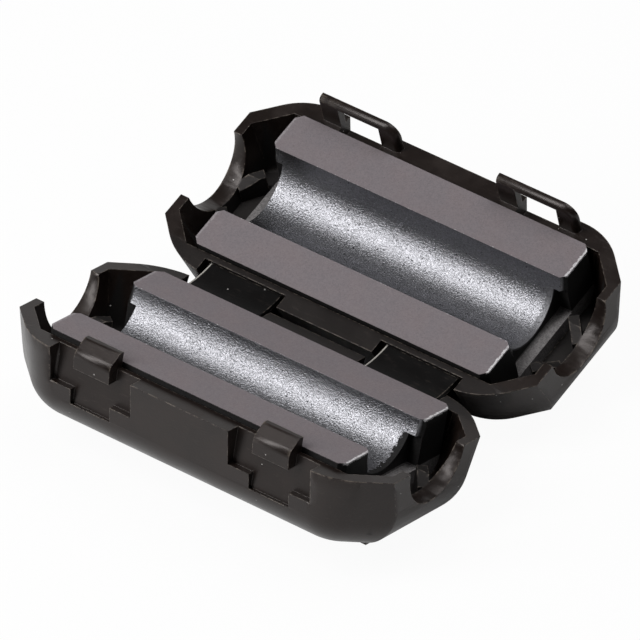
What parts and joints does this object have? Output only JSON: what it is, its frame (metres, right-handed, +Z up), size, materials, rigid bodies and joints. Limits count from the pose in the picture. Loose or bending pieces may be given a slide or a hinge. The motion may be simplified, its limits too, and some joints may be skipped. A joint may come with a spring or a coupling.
{
  "type": "clip-on ferrite bead",
  "caption": "Open clip-on ferrite bead: a hinged black snap case with half a grey ferrite core in each boat-shaped half, for clamping round a cable to damp noise.",
  "frame": {"origin": "on the surface the open case stands on, under the middle of its outer box", "axes": "+X along the cable and the hinge, +Y from the half with the catches to the half with the loops, +Z up"},
  "size_m": [0.0366, 0.0378, 0.0132],
  "materials": {
    "case": "satin moulded nylon",
    "ferrite": "matt ground and sintered ferrite"
  },
  "bodies": {
    "base": {"base_shell": "case", "hinge_strap_left": "case", "hinge_strap_right": "case", "base_core": "ferrite"},
    "cover": {"cover_shell": "case", "cover_core": "ferrite"}
  },
  "joints": [
    {"name": "lid", "type": "hinge", "parent": "base", "child": "cover", "pos_m": [0, 0, 0.00634], "axis": [1, 0, 0], "range_deg": [-29.26, 150.74], "deforming": ["hinge_strap_left", "hinge_strap_right"]}
  ]
}
